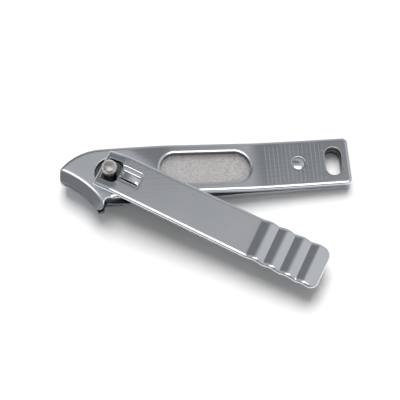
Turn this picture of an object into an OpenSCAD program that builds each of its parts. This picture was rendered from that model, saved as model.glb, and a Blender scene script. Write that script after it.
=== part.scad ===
// Slant-jaw nail clipper: two sprung arms riveted at the rear with a nail file
// clamped between them, a notched post through the front, and a swing-out lever
// whose front bar turns in the notch of the post.
// The middle plane between the two arms is level, and the crown of the lower
// arm and the foot of the post lie in the plane z = 0.

/* [Arms] */
// Distance from the post axis to the rear end of the arms
rear_x = 66.4; // [64:0.2:70]
// Half width of the arms at the rear end
rear_half_width = 6.8; // [6.5:0.1:7.2]
// Half width of the arms beside the post
front_half_width = 7.05; // [6.8:0.05:7.4]
// Thickness of each arm's sheet
sheet = 2.1; // [1.8:0.05:2.2]
// Half of the closed height at the rear
rear_half = 2.35; // [2.3:0.05:2.6]
// Half of the height across the crowns beside the post
front_half = 4.9; // [4.5:0.1:5.3]
// Radius of the rounded rear corners
rear_corner = 1.5; // [0.5:0.1:3]
// Width of the bevel along the top edges
bevel_w = 0.8; // [0.3:0.1:1.2]
// Drop of the bevel along the top edges
bevel_h = 0.35; // [0.2:0.05:0.6]

/* [Jaws] */
// Angle of the cutting edge to the length of the arms
jaw_angle = 43.8; // [35:0.2:55]
// Radius of the hollow cutting edge, seen from above
jaw_radius = 22; // [18:0.5:40]
// Opening angle of the jaws at rest
jaw_open = 2.14; // [1.4:0.02:2.4]
// Width of the ground outer face behind the cutting edge
face_w = 2.5; // [2:0.1:3]
// Height of the ground outer face
face_h = 2.2; // [1.8:0.1:2.4]

/* [Window, slot and rivet] */
// Distance from the post axis to the middle of the file window
window_x = 26.2; // [25:0.1:28]
// Distance between the centres of the window's round ends
window_run = 16.2; // [12:0.2:18]
// Radius of the window's round ends
window_r = 4.45; // [3.5:0.05:4.8]
// Distance from the post axis to the key-ring slot
slot_x = 61.8; // [61:0.1:62]
// Width of the key-ring slot
slot_w = 4.6; // [4.2:0.1:4.8]
// Length of the key-ring slot across the arms
slot_l = 8.2; // [7:0.1:9]
// Distance from the post axis to the rear rivet
rivet_x = 52; // [51:0.1:53]
// Radius of the rear rivet's heads
rivet_head_r = 1.6; // [1.5:0.05:1.9]
// Radius of the rear rivet's shank
rivet_r = 1.25; // [1:0.05:1.3]
// Number of fine grip lines across the upper arm
grip_lines = 15; // [10:1:16]

/* [Post] */
// Radius of the post's shank
post_r = 1.9; // [1.8:0.05:2]
// Radius of the post's head
head_r = 2.13; // [2:0.01:2.2]
// Height of the top of the post above the plane it stands on
post_top = 14.5; // [14.3:0.1:14.6]
// Radius of the post's foot
foot_r = 3.2; // [2.8:0.1:3.6]
// Radius of the hole that the post passes through in the upper arm
arm_hole_r = 4.05; // [3.8:0.05:4.3]

/* [Lever] */
// Distance from the post axis to the rear end of the lever
lever_l = 63.7; // [60:0.1:65]
// Width of the lever at its front edge
lever_w_front = 10.9; // [10.4:0.1:11.4]
// Width of the lever at its rear end
lever_w_rear = 12.3; // [11:0.1:12.8]
// Thickness of the lever's sheet
lever_t = 1.3; // [1.2:0.05:1.35]
// Angle that the lever is swung out from the arms at rest
lever_swing = 30; // [20:1:60]
// Number of thumb ridges near the rear end of the lever
thumb_ridges = 4; // [3:1:4]
// Height of the thumb ridges
ridge_h = 1; // [0.5:0.05:1.2]

/* [Hidden] */
$fn = 96;

chrome = [0.74, 0.76, 0.79];
grit = [0.72, 0.70, 0.68];

mid_z = front_half;              // height of the middle plane between the arms
plate_t = 0.44;                  // thickness of the file plate
ramp_x = 42.8;                   // the arms start to bow apart here
crown_x = 12.6;                  // the arms are level from here forward
ramp_blend = 0.15;               // share of the ramp that is rounded at each end
wedge = 0.0205;                  // slope of each arm from the rivet to the ramp
wedge_rise = wedge * (rivet_x - ramp_x);
play = 0.05;                     // running clearance of the post in the lower arm
foot_t = 1.0;                    // thickness of the post's foot
cut = 40;                        // reach of cutting shapes past the arms
far = 110;                       // reach of the nose shapes past the rear end

// Middle of the cutting edge's chord, and the depth of its hollow
jaw_mid = [-8.95, -4.9];
jaw_chord = 12.9;
jaw_sag = jaw_radius - sqrt(jaw_radius * jaw_radius - jaw_chord * jaw_chord / 4);
jaw_out = [-sin(jaw_angle), -cos(jaw_angle)];
jaw_centre = jaw_mid + jaw_out * (jaw_radius - jaw_sag);
nose_reach = 18;                 // the nose blends into the crown this far back
nose_top = 4.08;                 // height of the nose there, with the jaws shut
nose_slope = 3.3;                // angle at which the nose still rises there
nose_sheet = 1.78;               // thickness of the sheet there
nose_taper = 0.7;                // the inside rises this many degrees faster
edge_land = 0.8;                 // depth of the flat behind the cutting edge

// Corners of the front end as seen from above
tip_radius = 15.8;
tip_centre = [-2.2, front_half_width - tip_radius];
tip_corner = [-13.8, -1];
heel_corner = [-5.2, -9.5];
heel_radius = 1.2;
heel_centre = [-3.25, -8.3];
neck_radius = 1.4;
neck_centre = [-0.65, -8.3];
neck_end = 0.4;                  // the straight near side starts here
front_cut = -25;                 // ahead of the nose, for cutting shapes

seat_depth = 0.55;               // depth of the rivet seats
seat_gap = 0.25;                 // gap round a rivet head
rivet_rise = 0.5;                // height of a rivet head, with its edge
rivet_edge = 0.2;
loose = 0.15;                    // clearance of the rivet in moving parts
window_flare = 0.4;              // width of the bevel round the window
grip_first = 43.1;
grip_last = 59.3;
grip_width = 0.16;
plate_front = 11.4;
plate_rear = 56.6;
plate_half = 6.1;
plate_corner = 3;
land = 0.2;                      // height of the flat land on the cutting edge
edge_gap = 0.03;                 // gap left between the cutting edges when shut

// The lever's front bar, which turns in the notch of the post
bar_u = -1.92;
bar_z = 10.6;
bar_r = lever_t / 2;
bend_u = 2.8;                    // the lever is bent here, behind the post
bend_z = 11.65;
lever_fall = tan(3);             // the lever falls toward its rear end
eye_half = 3.2;                  // half width of the lever's eye
eye_rear = 5.15;                 // from the bar to the rear edge of the eye
ridge_u = 43.25;                 // start of the first thumb ridge
ridge_pitch = 4.82;
head_z = 11.5;                   // underside of the post's head
bridge_u = [3.5, 8.7];           // ends of the raised bridge behind the eye
bridge_w = 1.9;
bridge_rise = 0.85;

// Points on an arc, for outlines
function arc(c, r, a0, a1, n) =
    [for (i = [0:n]) let (a = a0 + (a1 - a0) * i / n) c + r * [cos(a), sin(a)]];

// Ramp from 0 to 1 with rounded ends
function ease(t) =
    let (b = ramp_blend, k = 1 / (1 - b), s = min(max(t, 0), 1))
    s < b ? k * s * s / (2 * b)
    : s > 1 - b ? 1 - k * (1 - s) * (1 - s) / (2 * b)
    : k * (s - b / 2);

// Distance of an arm's outer face from the middle plane
function half_height(x) =
    rear_half + wedge * min(max(rivet_x - x, 0), rivet_x - ramp_x)
    + (front_half - rear_half - wedge_rise)
    * ease((ramp_x - x) / (ramp_x - crown_x));

// Stations along an arm, closer together where its face curves
ramp_run = ramp_x - crown_x;
stations = concat(
    [rear_x + 1, rivet_x],
    [for (i = [0:4]) ramp_x - ramp_run * ramp_blend * i / 4],
    [for (i = [0:4]) crown_x + ramp_run * ramp_blend * (1 - i / 4)],
    [front_cut]);

// Region under the face that lies drop inside an arm's outer face
module under_face(drop) {
    face = [for (x = stations) [x, half_height(x) - drop]];
    polygon(concat(face, [[front_cut, -cut], [rear_x + 1, -cut]]));
}

// The same region as a solid across the whole width
module side_solid(drop) {
    rotate([90, 0, 0])
        linear_extrude(height = cut, center = true)
            under_face(drop);
}

// Tilts a shape open about the rivet, as the upper jaw is at rest
module opened() {
    translate([rivet_x, 0, 0])
        rotate([0, jaw_open / 2, 0])
            translate([-rivet_x, 0, 0])
                children();
}

// Half section of a nose, bowed up from low at start to top, where its slope is end_a
module nose_section(front, start, low, top, end_a) {
    run = nose_reach - start;
    start_a = 2 * atan((top - low) / run) - end_a;
    r = run / (sin(start_a) - sin(end_a));
    crown = [jaw_radius + nose_reach, top];
    polygon(concat(
        [[jaw_radius - 1, -cut]],
        front,
        arc(crown + r * [sin(end_a), -cos(end_a)], r, 90 + start_a, 90 + end_a, 10),
        [[jaw_radius + far, top + tan(end_a) * (far - nose_reach)],
        [jaw_radius + far, -cut]]));
}

// Outer shape of the nose, turned about the centre of the hollow edge
module nose_outer() {
    opened()
        translate([jaw_centre[0], jaw_centre[1], 0])
            rotate_extrude($fn = 180)
                nose_section([[jaw_radius - 1, land], [jaw_radius, land]],
                    face_w, face_h, nose_top, nose_slope);
}

// Hollow under the nose, from the cutting edge back to the crown
module nose_inner() {
    opened()
        translate([jaw_centre[0], jaw_centre[1], 0])
            rotate_extrude($fn = 180)
                nose_section([[jaw_radius - 1, edge_gap]],
                    edge_land, edge_gap, nose_top - nose_sheet, nose_slope + nose_taper);
}

// Outline of both arms from above
module arm_outline() {
    rc = rear_corner;
    yf = front_half_width;
    yr = rear_half_width;
    difference() {
        polygon(concat(
            arc([rear_x - rc, yr - rc], rc, 0, 90, 8),
            arc(tip_centre, tip_radius, 90, 135, 16),
            [tip_corner, heel_corner],
            arc(heel_centre, heel_radius, 270, 360, 6),
            arc(neck_centre, neck_radius, 170, 100, 4),
            [[neck_end, -yf]],
            arc([rear_x - rc, rc - yr], rc, 270, 360, 8)));
        translate(jaw_centre)
            circle(jaw_radius, $fn = 180);
    }
}

// Shell of an arm above the middle plane
module arm_shell() {
    intersection() {
        translate([0, 0, -1])
            linear_extrude(height = 12)
                arm_outline();
        difference() {
            intersection() {
                side_solid(0);
                nose_outer();
            }
            intersection() {
                side_solid(sheet);
                nose_inner();
            }
        }
    }
}

// Bevels one long edge of an arm between two stations
module edge_bevel(x0, x1, side) {
    z0 = half_height(x0);
    z1 = half_height(x1);
    run = x1 - x0;
    y0 = rear_half_width + (front_half_width - rear_half_width)
        * (rear_x - (x0 + x1) / 2) / rear_x;
    translate([x0, side * y0, z0])
        rotate([0, -atan((z1 - z0) / run), 0])
            rotate([side * -atan(bevel_h / bevel_w), 0, 0])
                translate([-0.3, -2, -bevel_h * 0.92])
                    cube([norm([run, z1 - z0]) + 0.6, 4, 2]);
}

module arm_bevels() {
    marks = [rear_x + 1, rivet_x, ramp_x - 2, crown_x + 2, -1];
    for (i = [0:3])
        for (side = [-1, 1])
            edge_bevel(marks[i + 1], marks[i], side);
    translate([rear_x, 0, rear_half])
        rotate([0, atan(bevel_h / bevel_w), 0])
            translate([-2, -10, -bevel_h * 0.92])
                cube([4, 20, 2]);
}

// Key-ring slot with round ends
module key_slot() {
    r = slot_w / 2;
    run = slot_l - slot_w;
    translate([slot_x, 0, -1]) {
        for (side = [-1, 1])
            translate([0, side * run / 2, 0])
                cylinder(r = r, h = 8);
        translate([-r, -run / 2, 0])
            cube([slot_w, run, 8]);
    }
}

// Round recess for a rivet head, with the bore for the shank
module rivet_seat(bore_r) {
    translate([rivet_x, 0, rear_half - seat_depth])
        cylinder(r = rivet_head_r + seat_gap, h = 2);
    translate([rivet_x, 0, -1])
        cylinder(r = bore_r, h = 5);
}

// Opening with round ends, wider by flare at its top
module window_cut(flare) {
    pitch = atan((half_height(window_x - 6) - half_height(window_x + 6)) / 12);
    translate([window_x, 0, half_height(window_x)])
        rotate([0, pitch, 0]) {
            for (side = [-1, 1])
                translate([side * window_run / 2, 0, 0]) {
                    translate([0, 0, -3])
                        cylinder(r = window_r, h = 4);
                    translate([0, 0, -flare])
                        cylinder(r1 = window_r, r2 = window_r + flare * 2, h = flare * 2);
                }
            translate([-window_run / 2, -window_r, -3])
                cube([window_run, 2 * window_r, 4]);
            rotate([90, 0, 90])
                linear_extrude(height = window_run, center = true)
                    polygon([
                        [-window_r, -flare], [window_r, -flare],
                        [window_r + flare * 2, flare],
                        [-window_r - flare * 2, flare]]);
        }
}

// Fine grip lines across the rear of the upper arm
module grip_cuts() {
    pitch = (grip_last - grip_first) / (grip_lines - 1);
    for (i = [0:grip_lines - 1]) {
        x = grip_first + pitch * i;
        if (abs(x - rivet_x) > rivet_head_r + 0.4)
            translate([x, 0, half_height(x)])
                rotate([90, 45, 0])
                    cube([grip_width, grip_width, 12], center = true);
    }
}

// Lower arm: plain underside, bore and counterbore for the post
module lower_arm() {
    color(chrome)
        translate([0, 0, mid_z])
            mirror([0, 0, 1])
                difference() {
                    arm_shell();
                    arm_bevels();
                    key_slot();
                    rivet_seat(rivet_r + 0.02);
                    cylinder(r = post_r + play, h = 10);
                    translate([0, 0, front_half - foot_t - 0.05])
                        cylinder(r = foot_r + 0.05, h = 5);
                }
}

// Upper arm: file window, grip lines and a wide hole for the post
module upper_arm() {
    color(chrome)
        translate([0, 0, mid_z])
            difference() {
                arm_shell();
                arm_bevels();
                key_slot();
                rivet_seat(rivet_r + loose);
                cylinder(r = arm_hole_r, h = 10);
                window_cut(window_flare);
                grip_cuts();
            }
}

// File plate: thin sheet that follows the underside of the upper arm
module file_plate() {
    front = plate_front;
    rear = plate_rear;
    half = plate_half;
    rc = plate_corner;
    marks = concat([rear], [for (x = stations) if (x < rear && x > front) x], [front]);
    top = [for (x = marks) [x, half_height(x) - sheet]];
    low = [for (i = [len(marks) - 1:-1:0]) top[i] - [0, plate_t]];
    color(grit)
        translate([0, 0, mid_z])
            difference() {
                intersection() {
                    rotate([90, 0, 0])
                        linear_extrude(height = 2 * half, center = true)
                            polygon(concat(top, low));
                    linear_extrude(height = 20, center = true)
                        polygon(concat(
                            arc([rear - 1, half - 1], 1, 0, 90, 6),
                            arc([front + rc, half - rc], rc, 90, 180, 10),
                            arc([front + rc, rc - half], rc, 180, 270, 10),
                            arc([rear - 1, 1 - half], 1, 270, 360, 6)));
                }
                translate([rivet_x, 0, 0])
                    cylinder(r = rivet_r + loose, h = 6, center = true);
            }
}

// Domed rivet head, flat side down at z = 0
module dome(r, h, edge) {
    ball = ((h - edge) * (h - edge) + r * r) / (2 * (h - edge));
    intersection() {
        cylinder(r = r, h = h);
        translate([0, 0, h - ball])
            sphere(r = ball, $fn = 96);
    }
}

// Rear rivet with a domed head sunk in each arm
module rear_rivet() {
    seat = rear_half - seat_depth;
    color(chrome)
        translate([rivet_x, 0, mid_z]) {
            translate([0, 0, -seat])
                cylinder(r = rivet_r, h = 2 * seat + loose);
            translate([0, 0, seat + 0.1])
                dome(rivet_head_r, rivet_rise, rivet_edge);
            mirror([0, 0, 1])
                translate([0, 0, seat])
                    dome(rivet_head_r, rivet_rise, rivet_edge);
        }
}

// Turns a shape from the lever's own direction to its rest direction
module swung() {
    rotate([0, 0, -lever_swing])
        children();
}

// Post: foot, shank and domed head, with the notch that holds the lever's bar
module post() {
    notch_r = bar_r + 0.45;
    color(chrome)
        swung()
            difference() {
                union() {
                    cylinder(r = foot_r, h = foot_t);
                    cylinder(r = post_r, h = head_z + 0.5);
                    translate([0, 0, head_z])
                        dome(head_r, post_top - head_z, post_top - head_z - 1.3);
                }
                translate([bar_u, 0, bar_z])
                    rotate([90, 0, 0])
                        cylinder(r = notch_r, h = 10, center = true);
                translate([bar_u - 6, -5, bar_z - notch_r])
                    cube([6, 10, 2 * notch_r]);
            }
}

// Height of the middle of the lever's sheet
function lever_z(u) =
    u < bend_u ? bar_z + (bend_z - bar_z) * (u - bar_u) / (bend_u - bar_u)
    : bend_z - lever_fall * (u - bend_u);

// Height of the thumb ridges at a distance along the lever
function ridge(u) =
    let (t = (u - ridge_u) / ridge_pitch, last = thumb_ridges - 0.5)
    t < 0 ? 0
    : t < last ? ridge_h * abs(sin(180 * t))
    : ridge_h * (1 - (u - ridge_u - last * ridge_pitch) / (lever_l - ridge_u - last * ridge_pitch));

// Side view of the lever's sheet
module lever_side() {
    steps = [0, 0.06, 0.13, 0.24, 0.37, 0.5, 0.63, 0.76, 0.87, 0.94];
    wave = [for (k = [0:thumb_ridges - 1])
        for (s = steps) if (k + s < thumb_ridges - 0.45) ridge_u + ridge_pitch * (k + s)];
    marks = concat([bar_u, bend_u - 1.2, bend_u + 1.2], wave, [lever_l + 1]);
    top = [for (u = marks) [u, lever_z(u) + ridge(u) + lever_t / 2]];
    low = [for (i = [len(marks) - 1:-1:0]) top[i] - [0, lever_t]];
    polygon(concat(top, low));
    translate([bar_u, bar_z])
        circle(bar_r);
}

// Lever from above, with rounded corners
module lever_outline() {
    rc = 2.4;
    rf = 0.7;
    hf = lever_w_front / 2;
    hr = lever_w_rear / 2;
    front = bar_u - bar_r;
    polygon(concat(
        arc([lever_l - rc, hr - rc], rc, 0, 90, 8),
        [[bend_u + 1, 5.7]],
        arc([front + rf, hf - rf], rf, 90, 180, 5),
        arc([front + rf, rf - hf], rf, 180, 270, 5),
        [[bend_u + 1, -5.7]],
        arc([lever_l - rc, rc - hr], rc, 270, 360, 8)));
}

// Eye of the lever, through which the post's head passes
module lever_eye() {
    rc = 1.4;
    front = bar_u + bar_r;
    rear = bar_u + eye_rear * cos(12.5);
    linear_extrude(height = 20)
        polygon(concat(
            arc([rear - rc, eye_half - rc], rc, 0, 90, 6),
            [[front, eye_half], [front, -eye_half]],
            arc([rear - rc, rc - eye_half], rc, 270, 360, 6)));
}

// Raised strip that arches over a slit behind the eye
module bridge() {
    span = bridge_u[1] - bridge_u[0];
    mid_u = (bridge_u[0] + bridge_u[1]) / 2;
    r = (span * span / 4 + bridge_rise * bridge_rise) / (2 * bridge_rise);
    t = 0.9;
    translate([mid_u, 0, lever_z(mid_u) + lever_t / 2 + bridge_rise - r])
        rotate([90, 0, 0])
            linear_extrude(height = bridge_w, center = true)
                intersection() {
                    difference() {
                        circle(r, $fn = 120);
                        circle(r - t, $fn = 120);
                    }
                    translate([-span / 2 - 0.3, r - bridge_rise - lever_t])
                        square([span + 0.6, 5]);
                }
}

// Lever: pressed sheet with a front bar, an eye, a bridge and thumb ridges
module lever() {
    slit = 0.25;
    color(chrome)
        swung() {
            difference() {
                intersection() {
                    rotate([90, 0, 0])
                        linear_extrude(height = 20, center = true)
                            lever_side();
                    linear_extrude(height = 20)
                        lever_outline();
                }
                lever_eye();
                translate([bridge_u[0] + 0.3, -bridge_w / 2 - slit, 5])
                    cube([bridge_u[1] - bridge_u[0] - 0.6, bridge_w + 2 * slit, 12]);
            }
            bridge();
        }
}

lower_arm();
upper_arm();
file_plate();
rear_rivet();
post();
lever();
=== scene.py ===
import math

import bmesh
import bpy
import numpy as np
from mathutils import Matrix, Vector
from mathutils.geometry import delaunay_2d_cdt


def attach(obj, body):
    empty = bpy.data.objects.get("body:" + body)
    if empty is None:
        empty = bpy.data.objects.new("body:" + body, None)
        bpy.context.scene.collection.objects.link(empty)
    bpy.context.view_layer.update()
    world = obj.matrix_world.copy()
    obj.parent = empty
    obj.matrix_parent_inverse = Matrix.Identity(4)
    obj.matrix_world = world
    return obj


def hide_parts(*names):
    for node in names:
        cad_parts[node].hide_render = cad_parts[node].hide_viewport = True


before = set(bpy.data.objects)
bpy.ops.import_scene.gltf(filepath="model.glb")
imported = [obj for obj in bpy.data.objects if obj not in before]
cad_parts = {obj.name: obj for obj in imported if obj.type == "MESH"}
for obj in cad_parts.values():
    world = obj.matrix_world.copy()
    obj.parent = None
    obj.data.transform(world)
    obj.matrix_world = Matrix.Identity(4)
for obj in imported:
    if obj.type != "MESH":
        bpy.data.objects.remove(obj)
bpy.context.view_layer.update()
MM = 0.001

# ---------------------------------------------------------------- dimensions, in mm
REAR_X = 66.4
REAR_HALF_W = 6.8
FRONT_HALF_W = 7.05
SHEET = 2.1
REAR_HALF = 2.35
MID_Z = 4.9
RAMP_X = 42.8
CROWN_X = 12.6
RAMP_BLEND = 0.15
RIVET_X = 52.0
WEDGE = 0.0205
WEDGE_RISE = WEDGE * (RIVET_X - RAMP_X)
JAW_ANGLE = math.radians(43.8)
JAW_R = 22.0
JAW_TILT = math.sin(math.radians(1.07))
WINDOW_X, WINDOW_RUN, WINDOW_R = 26.2, 16.2, 4.45
SLOT_X, SLOT_W, SLOT_L = 61.8, 4.6, 8.2
PLATE_T = 0.44
SWING = math.radians(-30.0)
LEVER_L, LEVER_T = 63.7, 1.3
BAR_U, BAR_Z = -1.92, 10.6
BEND_U, BEND_Z = 2.8, 11.65
LEVER_FALL = math.tan(math.radians(3.0))
RIDGE_U, RIDGE_PITCH, RIDGE_H = 43.25, 4.82, 1.0
EYE_HALF, EYE_REAR = 3.2, BAR_U + 5.15 * math.cos(math.radians(12.5))
HEAD_Z, HEAD_R, POST_TOP, DOME_H = 11.5, 2.13, 14.5, 1.35
POST_R, FOOT_R, FOOT_T = 1.9, 3.2, 1.0
NOTCH_R = LEVER_T / 2 + 0.45
RIVET_R, RIVET_HEAD_R, RIVET_RISE, RIVET_EDGE = 1.25, 1.6, 0.5, 0.15
SEAT_R, SEAT_DEPTH = 1.85, 0.5
ARM_HOLE_R, LOOSE, PLAY = 4.05, 0.15, 0.05
SEAT_FLOOR = SEAT_DEPTH + PLAY
GRIP_FIRST, GRIP_LAST, GRIP_LINES = 43.1, 59.3, 15
GRIP_HALF_W, GRIP_HALF, GRIP_CLEAR = 0.07, 6.3, 2.3
PLATE_FRONT, PLATE_REAR, PLATE_HALF, PLATE_CORNER = 11.4, 56.6, 6.1, 3.0
FACE_W, FACE_H, LAND_H = 2.5, 2.2, 0.2
EDGE_LAND, EDGE_GAP, GROUND_W = 0.8, 0.03, 0.5
NOSE_REACH, NOSE_TOP, NOSE_SLOPE, NOSE_SHEET = 18.0, 4.08, 3.3, 1.78
NOSE_TAPER = 0.7
ARM_EDGE, ARM_ROUND = 0.88, 0.26
LEVER_EDGE, LEVER_ROUND = 0.98, 0.3
TIP_R = 15.8
JAW_MID, JAW_CHORD = np.array([-8.95, -4.9]), 12.9

jaw_sag = JAW_R - math.sqrt(JAW_R**2 - JAW_CHORD**2 / 4)
jaw_out = np.array([math.sin(JAW_ANGLE), math.cos(JAW_ANGLE)])
jaw_c = JAW_MID - jaw_out * (JAW_R - jaw_sag)


# ---------------------------------------------------------------- plan curves
def arc(c, r, a0, a1, step=0.25):
    n = max(3, int(abs(math.radians(a1 - a0)) * r / step))
    a = np.radians(np.linspace(a0, a1, n + 1))
    return np.column_stack([c[0] + r * np.cos(a), c[1] + r * np.sin(a)])


def resample(points, step=0.3, closed=True):
    """Points along a polyline, with its own corners kept."""
    out = []
    n = len(points)
    for i in range(n if closed else n - 1):
        a, b = points[i], points[(i + 1) % n]
        k = max(1, int(math.ceil(np.linalg.norm(b - a) / step)))
        out += [a + (b - a) * j / k for j in range(k)]
    if not closed:
        out.append(points[-1])
    return np.array(out)


def circle(c, r, step=0.2):
    return arc(c, r, 0, 360, step)[:-1]


def stadium(c, run, r, along_x, step=0.25):
    d = run / 2
    if along_x:
        ends = [
            arc((c[0] + d, c[1]), r, -90, 90, step),
            arc((c[0] - d, c[1]), r, 90, 270, step),
        ]
    else:
        ends = [
            arc((c[0], c[1] + d), r, 0, 180, step),
            arc((c[0], c[1] - d), r, 180, 360, step),
        ]
    return resample(np.vstack(ends), step * 1.4)


def inside(p, poly):
    """Which points lie inside a closed polygon."""
    x, y = p[:, 0], p[:, 1]
    res = np.zeros(len(p), bool)
    a, b = poly, np.roll(poly, -1, axis=0)
    for (x0, y0), (x1, y1) in zip(a, b):
        if y0 == y1:
            continue
        hit = (y0 > y) != (y1 > y)
        res ^= hit & (x < (x1 - x0) * (y - y0) / (y1 - y0) + x0)
    return res


def distance(p, line, closed=True):
    """Distance of each point to a polyline."""
    a = line if closed else line[:-1]
    b = np.roll(line, -1, axis=0) if closed else line[1:]
    best = np.full(len(p), 1e9)
    d = b - a
    ll = np.maximum((d * d).sum(1), 1e-12)
    for i0 in range(0, len(p), 2000):
        q = p[i0 : i0 + 2000]
        w = q[:, None, :] - a[None, :, :]
        t = np.clip((w * d[None]).sum(2) / ll[None], 0, 1)
        e = w - t[:, :, None] * d[None]
        best[i0 : i0 + 2000] = np.sqrt((e * e).sum(2).min(1))
    return best


def normals_of(line):
    """Inward normals of a closed counter-clockwise polygon's points."""
    t = np.roll(line, -1, axis=0) - np.roll(line, 1, axis=0)
    t /= np.linalg.norm(t, axis=1)[:, None]
    return np.column_stack([-t[:, 1], t[:, 0]])


def smoothstep(t):
    t = np.clip(t, 0, 1)
    return t * t * (3 - 2 * t)


def smin(a, b, k):
    h = np.clip(0.5 + 0.5 * (b - a) / k, 0, 1)
    return b + (a - b) * h - k * h * (1 - h)


# ---------------------------------------------------------------- edge profiles
def round_drop(r):
    """Drop of a quarter-round edge at a distance from it."""

    def f(d):
        t = np.clip(1 - d / r, 0, 1)
        return r * (1 - np.sqrt(1 - t * t * 0.999))

    return f


def bevel_drop(w, a0, a1, r):
    """A shallow bevel of width w that steepens from a0 to a1 degrees, then a quarter round."""
    s0, s1 = math.tan(math.radians(a0)), math.tan(math.radians(a1))
    sin1, cos1 = math.sin(math.radians(a1)), math.cos(math.radians(a1))
    rho = r / (1 - sin1)

    def f(d):
        t = np.clip(w - d, 0, w - r)
        base = s0 * t + (s1 - s0) * t * t / (2 * (w - r))
        sin = np.clip(1 - np.clip(d, 0, r) / rho, 0, 0.99999)
        return base + np.where(d < r, rho * (cos1 - np.sqrt(1 - sin * sin)), 0)

    return f


def ring_insets(w, r, n_round=4):
    rs = [r * (1 - math.sin(math.radians(a))) for a in np.linspace(90, 25, n_round + 1)]
    flat = list(np.linspace(r, w, 4))
    return sorted({round(x, 4) for x in rs + flat} | {w + 0.06})


# ---------------------------------------------------------------- sheets
TOP, UNDER, WALL, LAND = 0, 1, 2, 3
# At smaller x and y than these, the outer wall takes the same nearly black painted shade as the walls
# of holes
LOBE_X, LOBE_Y = 3.0, -6.0


def sheet_mesh(outer, holes, top, bottom, drops_top, drops_low, insets, extra, grid, flip=False):
    """A closed sheet between two height functions over a plan with holes.

    drops_top and drops_low are lists of (closed, line, function of distance). The third value
    returned says of each face which part of the sheet it is on."""
    loops = [outer] + holes
    pts, edges = [], []
    base = 0
    for lp in loops:
        n = len(lp)
        pts.append(lp)
        edges += [(base + i, base + (i + 1) % n) for i in range(n)]
        base += n

    def clear(q, s):
        ok = inside(q, outer)
        for h in holes:
            ok &= ~inside(q, h)
        q = q[ok]
        d = np.min([distance(q, lp) for lp in loops], axis=0) if len(q) else np.zeros(0)
        return q[d > s]

    for k, lp in enumerate(loops):
        nrm = normals_of(lp) * (1 if k == 0 else -1)
        for s in insets[k]:
            if s > 0:
                pts.append(clear(lp + nrm * s, s * 0.97))
    if len(extra):
        pts.append(clear(np.array(extra), 0.02))
    deep = max(max(i) for i in insets)
    pts.append(clear(np.array(grid), deep + 0.15))
    p = np.vstack(pts)
    res = delaunay_2d_cdt([Vector(q) for q in p], edges, [], 0, 1e-5)
    v = np.array([tuple(q) for q in res[0]])
    tri = np.array([f for f in res[2] if len(f) == 3])
    orig = res[3]
    cen = v[tri].mean(axis=1)
    keep = inside(cen, outer)
    for h in holes:
        keep &= ~inside(cen, h)
    tri = tri[keep]
    a = v[tri[:, 1]] - v[tri[:, 0]]
    b = v[tri[:, 2]] - v[tri[:, 0]]
    area = a[:, 0] * b[:, 1] - a[:, 1] * b[:, 0]
    tri[area < 0] = tri[area < 0][:, ::-1]
    tri = tri[np.abs(area) > 1e-9]
    index = {}
    for i, o in enumerate(orig):
        for j in o:
            index[j] = i
    zt, zb = top(v[:, 0], v[:, 1]), bottom(v[:, 0], v[:, 1])
    dt, db = np.zeros(len(v)), np.zeros(len(v))
    for closed, line, f in drops_top:
        dt = np.maximum(dt, f(distance(v, line, closed)))
    for closed, line, f in drops_low:
        db = np.maximum(db, f(distance(v, line, closed)))
    zt, zb = zt - dt, zb + db
    n = len(v)
    verts = np.vstack([np.column_stack([v, zt]), np.column_stack([v, zb])])
    faces = [tuple(t) for t in tri] + [tuple(t[::-1] + n) for t in tri]
    parts = [TOP] * len(tri) + [UNDER] * len(tri)
    base = 0
    for lp in loops:
        m = len(lp)
        ids = [index[base + i] for i in range(m)]
        for i in range(m):
            i0, i1 = ids[i], ids[(i + 1) % m]
            if i0 != i1:
                faces.append((i0, i0 + n, i1 + n, i1) if base == 0 else (i1, i1 + n, i0 + n, i0))
                # Walls of holes and the jaw lobe's outer wall get the nearly black painted shade
                dark_wall_shade = base > 0 or (v[i0][0] < LOBE_X and v[i0][1] < LOBE_Y)
                parts.append(WALL if dark_wall_shade else TOP)
        base += m
    if flip:
        verts[:, 2] *= -1
        faces = [f[::-1] for f in faces]
    return verts, faces, parts


def add_object(name, verts, faces, parts=None, sharp=32.0):
    me = bpy.data.meshes.new(name)
    me.from_pydata((np.asarray(verts) * MM).tolist(), [], [list(map(int, f)) for f in faces])
    if parts:
        me.polygons.foreach_set("material_index", parts)
    bm = bmesh.new()
    bm.from_mesh(me)
    bmesh.ops.recalc_face_normals(bm, faces=bm.faces)
    bm.to_mesh(me)
    bm.free()
    me.polygons.foreach_set("use_smooth", [True] * len(me.polygons))
    me.set_sharp_from_angle(angle=math.radians(sharp))
    me.update()
    o = bpy.data.objects.new(name, me)
    bpy.context.scene.collection.objects.link(o)
    return o


def turn_z(verts, angle):
    c, s = math.cos(angle), math.sin(angle)
    v = np.array(verts, float)
    x, y = v[:, 0].copy(), v[:, 1].copy()
    v[:, 0], v[:, 1] = c * x - s * y, s * x + c * y
    return v


def lathe(profile, n=72):
    """Surface of revolution about Z from (radius, z) points; ends on the axis are closed."""
    verts, faces, rows = [], [], []
    for r, z in profile:
        if r < 1e-6:
            rows.append([len(verts)])
            verts.append((0, 0, z))
        else:
            rows.append(list(range(len(verts), len(verts) + n)))
            verts += [
                (r * math.cos(2 * math.pi * i / n), r * math.sin(2 * math.pi * i / n), z)
                for i in range(n)
            ]
    for a, b in zip(rows, rows[1:]):
        for i in range(n):
            j = (i + 1) % n
            if len(a) == 1:
                faces.append((a[0], b[j], b[i]))
            elif len(b) == 1:
                faces.append((a[i], a[j], b[0]))
            else:
                faces.append((a[i], a[j], b[j], b[i]))
    return np.array(verts, float), faces


# ---------------------------------------------------------------- arm surfaces
def ease(t):
    b, k = RAMP_BLEND, 1 / (1 - RAMP_BLEND)
    s = np.clip(t, 0, 1)
    return np.where(
        s < b,
        k * s * s / (2 * b),
        np.where(s > 1 - b, 1 - k * (1 - s) ** 2 / (2 * b), k * (s - b / 2)),
    )


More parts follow.
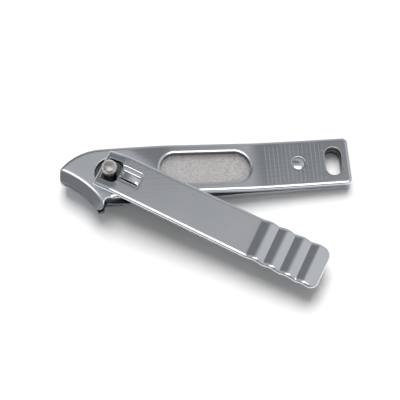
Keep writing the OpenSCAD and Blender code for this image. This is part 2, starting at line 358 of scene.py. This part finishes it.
def half_height(x):
    x = np.asarray(x, float)
    return (
        REAR_HALF
        + WEDGE * np.clip(RIVET_X - x, 0, RIVET_X - RAMP_X)
        + (MID_Z - REAR_HALF - WEDGE_RISE) * ease((RAMP_X - x) / (RAMP_X - CROWN_X))
    )


def bow(d, start, low, top, end_a):
    """Nose section: an arc from low at start up to top at the reach, then straight at end_a degrees."""
    run = NOSE_REACH - start
    end_a = math.radians(end_a)
    start_a = 2 * math.atan((top - low) / run) - end_a
    r = run / (math.sin(start_a) - math.sin(end_a))
    e = np.clip(NOSE_REACH - d, 0, run) + r * math.sin(end_a)
    beyond = math.tan(end_a) * np.clip(d - NOSE_REACH, 0, None)
    return top - r * math.cos(end_a) + np.sqrt(r * r - e * e) + beyond


def jaw_depth(x, y):
    return np.hypot(x - jaw_c[0], y - jaw_c[1]) - JAW_R


def nose_outer(x, y):
    d = jaw_depth(x, y)
    face = LAND_H + (FACE_H - LAND_H) / FACE_W * np.clip(d, 0, None)
    crown = bow(d, FACE_W, FACE_H, NOSE_TOP, NOSE_SLOPE)
    return smin(face, crown, 0.32) + JAW_TILT * (RIVET_X - x)


def nose_inner(x, y):
    d = jaw_depth(x, y)
    hollow = bow(d, EDGE_LAND, EDGE_GAP, NOSE_TOP - NOSE_SHEET, NOSE_SLOPE + NOSE_TAPER)
    return np.where(d < EDGE_LAND, EDGE_GAP, hollow) + JAW_TILT * (RIVET_X - x)


def arm_outer(x, y):
    return smin(half_height(x), nose_outer(x, y), 0.05)


def arm_inner(x, y):
    return smin(half_height(x) - SHEET, nose_inner(x, y), 0.05)


# Outline of the arms, counter-clockwise from the rear corner on the far side
RC = 1.5
TIP_CENTRE = np.array([-2.2, FRONT_HALF_W - TIP_R])
TIP_CORNER, HEEL_CORNER, HEEL_END = (np.array(q) for q in ([-13.8, -1.0], [-5.2, -9.5], [-3.25, -9.5]))
HEEL_CENTRE, HEEL_R = (-3.25, -8.3), 1.2
NECK_CENTRE, NECK_R, NECK_END = (-0.65, -8.3), 1.4, 0.4
tip_a = TIP_CENTRE + TIP_R * np.array([math.cos(math.radians(135)), math.sin(math.radians(135))])


def jaw_hit(p, q):
    """Where the segment p-q crosses the cutting edge's circle."""
    t = np.linspace(0, 1, 4001)
    s = p[None] + (q - p)[None] * t[:, None]
    k = np.argmin(np.abs(np.hypot(s[:, 0] - jaw_c[0], s[:, 1] - jaw_c[1]) - JAW_R))
    return s[k]


tip_b = jaw_hit(tip_a, TIP_CORNER)
heel = jaw_hit(HEEL_CORNER, HEEL_END)


def polar(p):
    return math.degrees(math.atan2(p[1] - jaw_c[1], p[0] - jaw_c[0]))


cut_edge = arc(jaw_c, JAW_R, polar(tip_b), polar(heel), 0.25)
near_lobe = np.vstack(
    [
        arc(HEEL_CENTRE, HEEL_R, 270, 360, 0.12),
        arc(NECK_CENTRE, NECK_R, 170, 100, 0.12),
    ]
)
far_side = np.vstack(
    [
        arc((REAR_X - RC, REAR_HALF_W - RC), RC, 0, 90, 0.12),
        arc(TIP_CENTRE, TIP_R, 90, 135, 0.3),
    ]
)
rear_corner = arc((REAR_X - RC, RC - REAR_HALF_W), RC, 270, 360, 0.12)
rear_near = np.vstack([[[NECK_END, -FRONT_HALF_W]], rear_corner])
far_line = resample(far_side, 0.3, closed=False)
near_line = resample(rear_near, 0.3, closed=False)
outline = resample(
    np.vstack([far_side, [tip_b], cut_edge[1:-1], [heel], near_lobe, rear_near]), 0.3
)
end_line = np.vstack([near_line[-1], far_line[0]])
long_edges = np.vstack([near_line, far_line])
tip_line = np.vstack([far_line[-1], tip_b])
lobe_line = np.vstack([near_lobe, near_line[:1]])

window = stadium((WINDOW_X, 0), WINDOW_RUN, WINDOW_R, True, 0.22)
slot = stadium((SLOT_X, 0), SLOT_L - SLOT_W, SLOT_W / 2, False, 0.2)
arm_hole = circle((0, 0), ARM_HOLE_R, 0.22)
rivet_hole_up = circle((RIVET_X, 0), RIVET_R + LOOSE, 0.18)
rivet_hole_low = circle((RIVET_X, 0), RIVET_R + 0.02, 0.18)
post_bore = circle((0, 0), POST_R + PLAY, 0.2)

GRIP = [GRIP_FIRST + (GRIP_LAST - GRIP_FIRST) / (GRIP_LINES - 1) * i for i in range(GRIP_LINES)]


def grip(x, y):
    """Fine transverse score lines over the rear of the upper arm."""
    z = np.zeros_like(x)
    for g in GRIP:
        depth = 0.006 + 0.014 * abs(math.sin(7.3 * g))
        z = np.maximum(z, depth * np.clip(1 - np.abs(x - g) / GRIP_HALF_W, 0, 1))
    fade = smoothstep((GRIP_HALF - np.abs(y)) / 0.4)
    return z * fade * smoothstep((np.hypot(x - RIVET_X, y) - GRIP_CLEAR) / 0.2)


def seat(x, y):
    """Flat-floored round recess for a rivet head, with a narrow rounded lip."""
    d = np.hypot(x - RIVET_X, y)
    floor = SEAT_DEPTH * smoothstep((SEAT_R + 0.02 - d) / 0.1)
    return floor + 0.05 * smoothstep((SEAT_R + 0.15 - d) / 0.15)


def upper_top(x, y):
    return arm_outer(x, y) - grip(x, y) - seat(x, y)


def lower_top(x, y):
    return (
        arm_outer(x, y)
        - seat(x, y)
        - (FOOT_T + PLAY) * smoothstep((FOOT_R + 0.07 - np.hypot(x, y)) / 0.08)
    )


def lattice(xs, ys):
    return np.array(np.meshgrid(xs, ys)).reshape(2, -1).T


def jaw_rings():
    """Points on arcs behind the cutting edge, closer together where the face turns."""
    out = []
    near_edge = (0.12, 0.5, 0.8, 0.95, 1.3, 1.8, 2.15)
    near_turn = (2.32, 2.42, 2.5, 2.58, 2.68, 2.85, 3.2, 3.8, 4.6)
    for d in near_edge + near_turn:
        out.append(arc(jaw_c, JAW_R + d, polar(tip_b) + 14, polar(heel) - 14, 0.35))
    for d in np.arange(5.4, 12.5, 0.7):
        out.append(arc(jaw_c, JAW_R + d, polar(tip_b) + 25, polar(heel) - 20, 0.6))
    return np.vstack(out)


def recess_rings(c, radii, step=0.2):
    return np.vstack([circle(c, r, step) for r in radii])


grid_x = np.concatenate(
    [
        np.arange(-14, RAMP_X, 0.55),
        np.arange(RAMP_X, REAR_X, 0.9),
        [g + o for g in GRIP for o in (-0.12, -0.07, -0.035, 0, 0.035, 0.07, 0.12)],
    ]
)
grid_up = lattice(np.unique(np.round(grid_x, 3)), np.arange(-6.6, 6.7, 0.66))
grid_low = lattice(np.arange(-14, REAR_X, 0.6), np.arange(-7, 7.1, 0.6))
seat_rings = recess_rings((RIVET_X, 0), (1.6, 1.72, 1.77, 1.81, 1.85, 1.88, 1.93, 1.98, 2.04, 2.3))
foot_rings = recess_rings((0, 0), (2.6, 3.05, 3.17, 3.21, 3.25, 3.3, 3.5), 0.25)

arm_bevel = bevel_drop(ARM_EDGE, 8, 25, ARM_ROUND)
arm_insets = ring_insets(ARM_EDGE, ARM_ROUND)
hole_insets = [0.012, 0.04, 0.08, 0.13, 0.2, 0.33, 0.47, 0.62, 0.68]
low_insets = [0.02, 0.06, 0.12, 0.2]
RIM = bevel_drop(0.62, 11, 24, 0.12)
FINE = round_drop(0.18)
SHARP = round_drop(0.08)
outer_drops = [
    (False, near_line, arm_bevel),
    (False, far_line, arm_bevel),
    (False, end_line, arm_bevel),
    (False, tip_line, FINE),
    (False, lobe_line, FINE),
]


def build_arm(name, top, holes, drops, insets, grid, extra, flip):
    inner_drops = [(False, long_edges, FINE), (False, lobe_line, FINE)]
    verts, faces, parts = sheet_mesh(
        outline,
        holes,
        top,
        arm_inner,
        outer_drops + drops,
        inner_drops + [(True, h, SHARP) for h in holes],
        [arm_insets] + insets,
        extra,
        grid,
        flip,
    )
    verts = verts + np.array([0, 0, MID_Z])
    return add_object(name, verts, faces, parts)


upper = build_arm(
    "upper_arm_shell",
    upper_top,
    [window, slot, arm_hole, rivet_hole_up],
    [(True, window, RIM), (True, slot, FINE), (True, arm_hole, FINE)],
    [hole_insets, hole_insets, low_insets, [0.05]],
    grid_up,
    np.vstack([jaw_rings(), seat_rings]),
    False,
)
lower = build_arm(
    "lower_arm_shell",
    lower_top,
    [slot, post_bore, rivet_hole_low],
    [(True, slot, FINE)],
    [hole_insets, [0.05], [0.05]],
    grid_low,
    np.vstack([jaw_rings(), seat_rings, foot_rings]),
    True,
)

# ---------------------------------------------------------------- file plate
front_c, front_y = PLATE_FRONT + PLATE_CORNER, PLATE_HALF - PLATE_CORNER
plate_line = resample(
    np.vstack(
        [
            arc((PLATE_REAR - 1, PLATE_HALF - 1), 1, 0, 90, 0.2),
            arc((front_c, front_y), PLATE_CORNER, 90, 180, 0.3),
            arc((front_c, -front_y), PLATE_CORNER, 180, 270, 0.3),
            arc((PLATE_REAR - 1, 1 - PLATE_HALF), 1, 270, 360, 0.2),
        ]
    ),
    0.5,
)
verts, faces, parts = sheet_mesh(
    plate_line,
    [circle((RIVET_X, 0), RIVET_R + LOOSE, 0.2)],
    lambda x, y: half_height(x) - SHEET - 0.01,
    lambda x, y: half_height(x) - SHEET - PLATE_T,
    [(True, plate_line, round_drop(0.08))],
    [(True, plate_line, round_drop(0.08))],
    [[0.03, 0.08], [0.05]],
    [],
    lattice(np.arange(11, 57, 0.8), np.arange(-6, 6.1, 0.8)),
)
file_plate = add_object("file_sheet", verts + np.array([0, 0, MID_Z]), faces)


# ---------------------------------------------------------------- lever
def lever_mid(u):
    u = np.asarray(u, float)
    front = BAR_Z + (BEND_Z - BAR_Z) * (u - BAR_U) / (BEND_U - BAR_U)
    rear = BEND_Z - LEVER_FALL * (u - BEND_U)
    return smin(front, rear, 0.22)


def ridge(u):
    t = (np.asarray(u, float) - RIDGE_U) / RIDGE_PITCH
    top = RIDGE_H * np.sqrt(np.sin(np.pi * np.clip(t, 0, 3.5)) ** 2 + 0.006)
    tail = RIDGE_H * (1 - (t - 3.5) / ((LEVER_L - RIDGE_U) / RIDGE_PITCH - 3.5))
    z = np.where(t < 3.5, top, tail)
    lead = smoothstep((t + 0.05) / 0.1)
    return np.where(t < -0.05, 0, np.where(t < 0.05, lead * z, z))


BRIDGE = (3.5, 8.7)
BRIDGE_W, BRIDGE_RISE, SLIT_W = 0.95, 0.85, 0.28
STAMP_U, STAMP_V, STAMP_R, STAMP_DEPTH = (3.8, 8.2), 1.5, 1.15, 0.07


def bridge_lift(u, v):
    m, h = (BRIDGE[0] + BRIDGE[1]) / 2, (BRIDGE[1] - BRIDGE[0]) / 2
    t = np.clip(1 - ((u - m) / h) ** 2, 0, 1)
    crown = 1 - 0.28 * np.clip(v / BRIDGE_W, -1, 1) ** 2
    return BRIDGE_RISE * t * crown * (np.abs(v) < BRIDGE_W + 0.01)


def stamp(u, v):
    """Shallow stamped panel around the bridge."""
    u0, u1 = STAMP_U
    du = np.maximum(np.abs(u - (u0 + u1) / 2) - (u1 - u0) / 2, 0)
    dv = np.maximum(np.abs(v) - STAMP_V, 0)
    d = np.hypot(du, dv) - STAMP_R
    return STAMP_DEPTH * smoothstep((0.14 - d) / 0.2)


def lever_top(u, v):
    return lever_mid(u) + ridge(u) + LEVER_T / 2 + bridge_lift(u, v) - stamp(u, v)


def lever_low(u, v):
    return lever_mid(u) + ridge(u) - LEVER_T / 2 + bridge_lift(u, v)


LF, LR = 10.9 / 2, 12.28 / 2
BEND_HALF, TAIL_R, NOSE_R, EYE_R = 5.7, 2.4, 0.7, 1.4
FRONT_U = BAR_U - LEVER_T / 2
lever_line = resample(
    np.vstack(
        [
            arc((LEVER_L - TAIL_R, LR - TAIL_R), TAIL_R, 0, 90, 0.15),
            [[BEND_U + 1, BEND_HALF]],
            arc((FRONT_U + NOSE_R, LF - NOSE_R), NOSE_R, 90, 180, 0.1),
            arc((FRONT_U + NOSE_R, NOSE_R - LF), NOSE_R, 180, 270, 0.1),
            [[BEND_U + 1, -BEND_HALF]],
            arc((LEVER_L - TAIL_R, TAIL_R - LR), TAIL_R, 270, 360, 0.15),
        ]
    ),
    0.25,
)
EYE_FRONT = BAR_U + LEVER_T / 2
eye = resample(
    np.vstack(
        [
            arc((EYE_REAR - EYE_R, EYE_HALF - EYE_R), EYE_R, 0, 90, 0.15),
            [[EYE_FRONT, EYE_HALF], [EYE_FRONT, -EYE_HALF]],
            arc((EYE_REAR - EYE_R, EYE_R - EYE_HALF), EYE_R, 270, 360, 0.15),
        ]
    ),
    0.2,
)


def slit(side):
    u0, u1 = BRIDGE[0] + 0.04, BRIDGE[1] - 0.04
    v0, v1 = side * BRIDGE_W, side * (BRIDGE_W + SLIT_W)
    p = np.array([[u0, v0], [u1, v0], [u1, v1], [u0, v1]])
    if side < 0:
        p = p[::-1]
    return resample(p, 0.2)


slits = [slit(1), slit(-1)]
lever_bevel = bevel_drop(LEVER_EDGE, 2, 26, LEVER_ROUND)
lever_insets = ring_insets(LEVER_EDGE, LEVER_ROUND)
valley_steps = (-0.05, -0.025, 0.0, 0.02, 0.05, 0.09, 0.14, 0.2, 0.28)
crest_steps = (0.37, 0.46, 0.54, 0.63, 0.72, 0.8, 0.86, 0.91, 0.95)
ridge_marks = [
    RIDGE_U + RIDGE_PITCH * (k + s)
    for k in range(4)
    for s in valley_steps + crest_steps
    if k + s < 3.55
]
front_marks, flat_marks = np.arange(-2.2, 9.6, 0.3), np.arange(9.6, 43, 0.8)
tail_marks = np.arange(60.3, 63.7, 0.5)
grid_u = np.concatenate([front_marks, flat_marks, ridge_marks, tail_marks])
lever_grid = lattice(np.unique(np.round(grid_u, 3)), np.arange(-5.4, 5.5, 0.45))
stamp_pts = []
stamp_rings = (-0.4, -0.25, -0.16, -0.11, -0.07, -0.02, 0.04, 0.1, 0.15, 0.19, 0.25)
for d in stamp_rings:
    r = STAMP_R + d
    (u0, u1), v1 = STAMP_U, STAMP_V
    corners = [(u1, v1), (u0, v1), (u0, -v1), (u1, -v1)]
    q = [arc(c, r, 90 * k, 90 * k + 90, 0.15) for k, c in enumerate(corners)]
    stamp_pts.append(resample(np.vstack(q), 0.22))
fine_hole = [0.01, 0.04, 0.09, 0.15, 0.22]
verts, faces, parts = sheet_mesh(
    lever_line,
    [eye] + slits,
    lever_top,
    lever_low,
    [(True, lever_line, lever_bevel), (True, eye, round_drop(0.22))]
    + [(True, line, round_drop(0.1)) for line in slits],
    [(True, lever_line, round_drop(0.22)), (True, eye, round_drop(0.15))],
    [lever_insets, fine_hole, [0.03, 0.08], [0.03, 0.08]],
    np.vstack(stamp_pts),
    lever_grid,
)
lever = add_object("lever_sheet", turn_z(verts, SWING), faces, parts)

# ---------------------------------------------------------------- post and rivet
dome = []
for a in np.linspace(0, 90, 14):
    rise = DOME_H * math.sin(math.radians(a))
    dome.append((HEAD_R * math.cos(math.radians(a)), POST_TOP - DOME_H + rise))
dome[-1] = (0.0, POST_TOP)
post_profile = (
    [(0, 0), (FOOT_R - 0.2, 0), (FOOT_R, 0.12), (FOOT_R, FOOT_T), (POST_R, FOOT_T)]
    + [(POST_R, HEAD_Z - 0.05)]
    + [(HEAD_R - 0.12, HEAD_Z), (HEAD_R, HEAD_Z + 0.12)]
    + dome
)
pv, pf = lathe(post_profile, 96)
post = add_object("post_turned", pv, pf)
cutter_v, cutter_f = lathe([(0, -5), (NOTCH_R, -5), (NOTCH_R, 5), (0, 5)], 48)
cutter_v = np.column_stack([cutter_v[:, 0] + BAR_U, cutter_v[:, 2], cutter_v[:, 1] + BAR_Z])
cutter = add_object("cut_a", turn_z(cutter_v, SWING), cutter_f)
notch_z = (BAR_Z - NOTCH_R, BAR_Z + NOTCH_R)
box = [(x, y, z) for x in (BAR_U - 6, BAR_U) for y in (-5, 5) for z in notch_z]
box_f = [(0, 1, 3, 2), (4, 6, 7, 5), (0, 4, 5, 1), (2, 3, 7, 6), (0, 2, 6, 4), (1, 5, 7, 3)]
cutter2 = add_object("cut_b", turn_z(box, SWING), box_f)
for c in (cutter, cutter2):
    mod = post.modifiers.new("notch", "BOOLEAN")
    mod.operation = "DIFFERENCE"
    mod.solver = "EXACT"
    mod.object = c
dg = bpy.context.evaluated_depsgraph_get()
cut_mesh = bpy.data.meshes.new_from_object(post.evaluated_get(dg))
post.modifiers.clear()
post.data = cut_mesh
for c in (cutter, cutter2):
    bpy.data.objects.remove(c)


def rivet_dome(r, z0, h, edge):
    ball = ((h - edge) ** 2 + r * r) / (2 * (h - edge))
    pts = [(r - 0.05, z0), (r, z0 + 0.05), (r, z0 + edge)]
    for t in np.linspace(0.92, 0, 8):
        x = r * t
        pts.append((x, z0 + h - ball + math.sqrt(ball * ball - x * x)))
    return pts


def rivet_end(z0):
    return [(RIVET_R, 0), (RIVET_R, z0)] + rivet_dome(RIVET_HEAD_R, z0, RIVET_RISE, RIVET_EDGE)


half = REAR_HALF - SEAT_FLOOR
upper_end, lower_end = rivet_end(half + 0.1), rivet_end(half)
rv, rf = lathe([(r, -z) for r, z in lower_end[::-1]] + upper_end[1:], 64)
rivet = add_object("rivet_turned", rv + np.array([RIVET_X, 0, MID_Z]), rf)


# ---------------------------------------------------------------- materials
def node_material(name):
    m = bpy.data.materials.new(name)
    m.use_nodes = True
    nt = m.node_tree
    nt.nodes.clear()
    out = nt.nodes.new("ShaderNodeOutputMaterial")
    bsdf = nt.nodes.new("ShaderNodeBsdfPrincipled")
    nt.links.new(bsdf.outputs[0], out.inputs[0])
    return m, nt, bsdf


def mapped(nt, scale, rot=0.0):
    tc = nt.nodes.new("ShaderNodeTexCoord")
    mp = nt.nodes.new("ShaderNodeMapping")
    mp.inputs["Rotation"].default_value = (0, 0, rot)
    mp.inputs["Scale"].default_value = scale
    nt.links.new(tc.outputs["Object"], mp.inputs["Vector"])
    return mp.outputs[0]


def noise(nt, vec, scale, detail=3.0, rough=0.5):
    n = nt.nodes.new("ShaderNodeTexNoise")
    n.inputs["Scale"].default_value = scale
    n.inputs["Detail"].default_value = detail
    n.inputs["Roughness"].default_value = rough
    nt.links.new(vec, n.inputs["Vector"])
    return n.outputs[0]


def ramp(nt, fac, stops):
    r = nt.nodes.new("ShaderNodeValToRGB")
    el = r.color_ramp.elements
    while len(el) < len(stops):
        el.new(0.5)
    for e, (p, c) in zip(el, stops):
        e.position = p
        e.color = (*c, 1) if len(c) == 3 else c
    nt.links.new(fac, r.inputs[0])
    return r.outputs[0]


def span(nt, fac, a, b):
    m = nt.nodes.new("ShaderNodeMapRange")
    m.inputs["To Min"].default_value = a
    m.inputs["To Max"].default_value = b
    nt.links.new(fac, m.inputs["Value"])
    return m.outputs[0]


def steel(name, rot, dark, light, rough, brush=0.5, metal=1.0):
    m, nt, b = node_material(name)
    b.inputs["Metallic"].default_value = metal
    along = mapped(nt, (1 / MM / 26, 1 / MM, 1 / MM), rot)
    streak = noise(nt, along, 2.2, 4, 0.45)
    cloud = noise(nt, mapped(nt, (1 / MM,) * 3), 0.09, 2, 0.5)
    col = ramp(nt, cloud, [(0.3, dark), (0.7, light)])
    nt.links.new(col, b.inputs["Base Color"])
    nt.links.new(span(nt, streak, rough * 0.85, rough * 1.2), b.inputs["Roughness"])
    bump = nt.nodes.new("ShaderNodeBump")
    bump.inputs["Strength"].default_value = 0.06 * brush
    bump.inputs["Distance"].default_value = 0.0002
    nt.links.new(streak, bump.inputs["Height"])
    nt.links.new(bump.outputs[0], b.inputs["Normal"])
    return m


ARM = steel("plated_arm", 0.0, (0.70, 0.73, 0.77), (0.75, 0.78, 0.82), 0.13)
LEVER = steel("plated_lever", math.radians(30), (0.71, 0.74, 0.78), (0.76, 0.785, 0.82), 0.14)
POST = steel("plated_post", math.radians(62), (0.50, 0.49, 0.475), (0.80, 0.78, 0.75), 0.2, brush=22.0)
# Painted shade: inner faces of the arms and the post's shank are plated like the outside, but coloured
# dark for the shade between the parts
SHADE_INNER = steel("painted_shade_inner", 0.0, (0.22, 0.23, 0.245), (0.30, 0.31, 0.33), 0.22)
# Painted shade: the lever's underside is plated like its top, but coloured darker for the shade under
# it
SHADE_UNDERSIDE = steel("painted_shade_underside", math.radians(30), (0.42, 0.44, 0.46), (0.50, 0.52, 0.54), 0.3)
GROUND = steel("ground_edge", 0.0, (0.80, 0.81, 0.83), (0.88, 0.89, 0.90), 0.4, brush=1.0, metal=0.15)
# Painted shade: walls of holes and of the jaw's near lobe are coloured nearly black for the shade that
# falls in them
WALL_SHADE = steel("painted_shade_walls", 0.0, (0.09, 0.093, 0.1), (0.16, 0.165, 0.175), 0.35)


def grit_material():
    m, nt, b = node_material("file_grit")
    vec = mapped(nt, (1 / MM,) * 3)
    fine = noise(nt, vec, 5.5, 4, 0.75)
    coarse = noise(nt, vec, 1.6, 3, 0.6)
    mix = nt.nodes.new("ShaderNodeMath")
    mix.operation = "MULTIPLY_ADD"
    mix.inputs[1].default_value = 0.35
    nt.links.new(coarse, mix.inputs[0])
    nt.links.new(fine, mix.inputs[2])
    dark, middle, light = (0.25, 0.243, 0.242), (0.50, 0.487, 0.484), (0.80, 0.785, 0.78)
    col = ramp(nt, mix.outputs[0], [(0.42, dark), (0.6, middle), (0.8, light)])
    nt.links.new(col, b.inputs["Base Color"])
    b.inputs["Metallic"].default_value = 0.75
    b.inputs["Roughness"].default_value = 0.6
    bump = nt.nodes.new("ShaderNodeBump")
    bump.inputs["Strength"].default_value = 0.8
    bump.inputs["Distance"].default_value = 0.0001
    nt.links.new(fine, bump.inputs["Height"])
    nt.links.new(bump.outputs[0], b.inputs["Normal"])
    return m


GRIT = grit_material()

# The post below its head takes the second material, a painted shade, and the arms' cutting edge the
# fourth
# Painted shade: the shank under the post's head is coloured dark for the shade the head casts on it
shank_shade_mask = [1 if c.center.z < (HEAD_Z + 0.1) * MM else 0 for c in post.data.polygons]
jaw_under = {
    o: [
        LAND
        if c.material_index == UNDER and jaw_depth(c.center.x / MM, c.center.y / MM) < GROUND_W
        else c.material_index
        for c in o.data.polygons
    ]
    for o in (upper, lower)
}

# Where a part has them, its second and third materials are painted shade on inner faces, undersides,
# the post's shank and the walls
for o, mats, body, node, slot_name in (
    (upper, (ARM, SHADE_INNER, WALL_SHADE, GROUND), "upper_arm", "upper_arm", "plated_steel"),
    (lower, (ARM, SHADE_INNER, WALL_SHADE, GROUND), "lower_arm", "lower_arm", "plated_steel"),
    (file_plate, (GRIT,), "upper_arm", "file_plate", "file_surface"),
    (lever, (LEVER, SHADE_UNDERSIDE, WALL_SHADE), "lever", "lever", "plated_steel"),
    (post, (POST, SHADE_INNER), "post", "post", "plated_steel"),
    (rivet, (ARM,), "lower_arm", "rear_rivet", "plated_steel"),
):
    for mat in mats:
        o.data.materials.append(mat)
    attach(o, body)
    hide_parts(node)
for o, parts in ((post, shank_shade_mask), *jaw_under.items()):
    o.data.polygons.foreach_set("material_index", parts)

# ---------------------------------------------------------------- floor, light and camera
# The clipper rests on its crown and its rear end, so the floor leans by the slope between them
FLOOR_SLOPE = (MID_Z - REAR_HALF) / (REAR_X - CROWN_X)
FLOOR_HALF = 9000.0


def floor_z(x):
    return FLOOR_SLOPE * (x - CROWN_X)


def make_floor():
    s = FLOOR_HALF
    v = [(x, y, floor_z(x) - 0.01) for x, y in ((-s, -s), (s, -s), (s, s), (-s, s))]
    o = add_object("floor", v, [(0, 1, 2, 3)])
    m, nt, b = node_material("pale_floor")
    grain = noise(nt, mapped(nt, (1 / MM,) * 3), 0.05, 3, 0.5)
    col = ramp(nt, grain, [(0.3, (0.86, 0.86, 0.865)), (0.7, (0.88, 0.88, 0.88))])
    nt.links.new(col, b.inputs["Base Color"])
    b.inputs["Roughness"].default_value = 0.9
    b.inputs["Specular IOR Level"].default_value = 0.1
    o.data.materials.append(m)


make_floor()


def sky_dir(x_deg, y_deg):
    """Direction tilted from straight up by x_deg towards +X and y_deg towards +Y."""
    a = math.hypot(x_deg, y_deg)
    s = math.sin(math.radians(a)) / max(a, 1e-6)
    return (x_deg * s, y_deg * s, math.cos(math.radians(a)))


def make_world(base, lobes):
    """A studio surround: a base level and soft lobes of light or shade at given directions."""
    w = bpy.data.worlds.new("studio")
    bpy.context.scene.world = w
    w.use_nodes = True
    nt = w.node_tree
    nt.nodes.clear()
    out = nt.nodes.new("ShaderNodeOutputWorld")
    bg = nt.nodes.new("ShaderNodeBackground")
    nt.links.new(bg.outputs[0], out.inputs[0])
    tc = nt.nodes.new("ShaderNodeTexCoord")
    rgb = nt.nodes.new("ShaderNodeRGB")
    rgb.outputs[0].default_value = (*base, 1)
    cur = rgb.outputs[0]
    for (xd, yd), inner, outer, colour in lobes:
        dot = nt.nodes.new("ShaderNodeVectorMath")
        dot.operation = "DOT_PRODUCT"
        dot.inputs[1].default_value = sky_dir(xd, yd)
        nt.links.new(tc.outputs["Generated"], dot.inputs[0])
        mr = nt.nodes.new("ShaderNodeMapRange")
        mr.interpolation_type = "SMOOTHSTEP"
        mr.inputs["From Min"].default_value = math.cos(math.radians(outer))
        mr.inputs["From Max"].default_value = math.cos(math.radians(inner))
        nt.links.new(dot.outputs["Value"], mr.inputs["Value"])
        mx = nt.nodes.new("ShaderNodeMix")
        mx.data_type = "RGBA"
        nt.links.new(mr.outputs[0], mx.inputs["Factor"])
        nt.links.new(cur, mx.inputs[6])
        mx.inputs[7].default_value = (*colour, 1)
        cur = mx.outputs[2]
    nt.links.new(cur, bg.inputs["Color"])
    bg.inputs["Strength"].default_value = 1.0


def grey(v, tint=0.0):
    return (v * (1 - tint), v, v * (1 + tint))


# Each lobe: tilt toward +X and +Y, inner and outer radius, all in degrees, and its colour.
# The last three are bright and show in surfaces that tilt toward the near side, such as bevels.
make_world(
    grey(0.47),
    [
        ((0, 62), 16, 26, grey(0.46)),
        ((50, -6), 22, 36, grey(0.60)),
        ((5, 30), 9, 13.5, grey(0.21, 0.03)),
        ((-16, 35), 11, 16, grey(0.21, 0.03)),
        ((-37, 46), 11, 17, grey(0.21, 0.03)),
        ((-52, -36), 18, 26, grey(0.21, 0.02)),
        ((0, -66), 26, 31, grey(0.13)),
        ((-4, -18), 10, 18, grey(2.8)),
        ((-24, -10), 7, 13, grey(2.0)),
        ((15, -19), 9, 17, grey(2.4)),
    ],
)


def make_sun(name, aim, energy, angle):
    """A wide soft source for the floor and other diffuse surfaces, not seen in reflections."""
    sun = bpy.data.lights.new(name, "SUN")
    sun.energy = energy
    sun.angle = math.radians(angle)
    o = bpy.data.objects.new(name, sun)
    bpy.context.scene.collection.objects.link(o)
    o.rotation_mode = "QUATERNION"
    o.rotation_quaternion = Vector(aim).to_track_quat("Z", "Y")
    o.visible_glossy = False


# The surround shows in reflections only, and the two lamps light diffuse surfaces only
bpy.context.scene.world.cycles_visibility.diffuse = False
make_sun("soft_key", (-0.03, 0.48, 0.87), 3.4, 42)
make_sun("soft_fill", (0.0, 0.1, 1.0), 1.15, 115)


CAM_AZIMUTH, CAM_ELEVATION, CAM_ROLL = -11.3564, 69.8662, 6.9358
CAM_TARGET = (24.3223, -7.1852, 2.485)
CAM_DISTANCE = 358.69
CAM_LENS = 117.0


def make_camera():
    """A camera at the photograph's angle; the target and distance are in mm."""
    a, e, r = (math.radians(q) for q in (CAM_AZIMUTH, CAM_ELEVATION, CAM_ROLL))
    back = np.array([math.sin(a) * math.cos(e), -math.cos(a) * math.cos(e), math.sin(e)])
    pos = np.array(CAM_TARGET) + back * CAM_DISTANCE
    fwd = -back
    right = np.cross(fwd, [0, 0, 1])
    right /= np.linalg.norm(right)
    up = np.cross(right, fwd)
    rr = right * math.cos(r) + up * math.sin(r)
    uu = -right * math.sin(r) + up * math.cos(r)
    cam = bpy.data.cameras.new("camera")
    cam.sensor_width = 36.0
    cam.lens = CAM_LENS
    cam.clip_start, cam.clip_end = 0.01, 10
    o = bpy.data.objects.new("camera", cam)
    bpy.context.scene.collection.objects.link(o)
    m = Matrix([[rr[i], uu[i], back[i], pos[i] * MM] for i in range(3)] + [[0, 0, 0, 1]])
    o.matrix_world = m
    bpy.context.scene.camera = o


make_camera()
view = bpy.context.scene.view_settings
view.view_transform = "Standard"
view.look = "None"
view.exposure = 0.0
